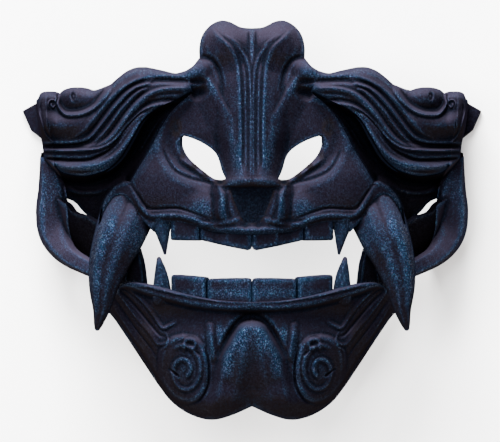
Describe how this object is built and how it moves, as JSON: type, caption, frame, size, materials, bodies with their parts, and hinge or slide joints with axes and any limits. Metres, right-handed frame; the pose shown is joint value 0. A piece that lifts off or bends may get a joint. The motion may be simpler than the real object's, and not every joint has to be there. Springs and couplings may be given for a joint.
{
  "type": "oni half mask",
  "caption": "Rigid oni half mask in dark glitter plastic, with swept ridged brows, scrolled brow ends, side horns, tusks, fangs, bared teeth and swirls on the chin.",
  "frame": {"origin": "middle of the mask seen from the front, on the plane that its rear rim lies on", "axes": "+Z points out of the face, +Y to the crown, +X to the wearer's left"},
  "size_m": [0.254, 0.2194, 0.1111],
  "materials": {
    "shell": "fine-grained print with fine glitter, shifting from violet to teal",
    "horn": "the same glitter plastic, a little smoother"
  },
  "bodies": {
    "root": {"upper_face": "shell", "lower_jaw": "shell", "brow_left": "shell", "brow_right": "shell", "temple_left": "shell", "temple_right": "shell", "jaw_arm_left": "shell", "jaw_arm_right": "shell", "ear_tab_left": "shell", "ear_tab_right": "shell", "tusk_left": "horn", "tusk_right": "horn", "side_horn_left": "horn", "side_horn_right": "horn", "upper_fang_left": "horn", "upper_fang_right": "horn", "lower_fang_left": "horn", "lower_fang_right": "horn", "upper_incisor_left": "horn", "upper_incisor_right": "horn", "upper_side_tooth_left": "horn", "upper_side_tooth_right": "horn", "lower_incisor_left": "horn", "lower_incisor_right": "horn", "lower_side_tooth_left": "horn", "lower_side_tooth_right": "horn"}
  },
  "joints": []
}
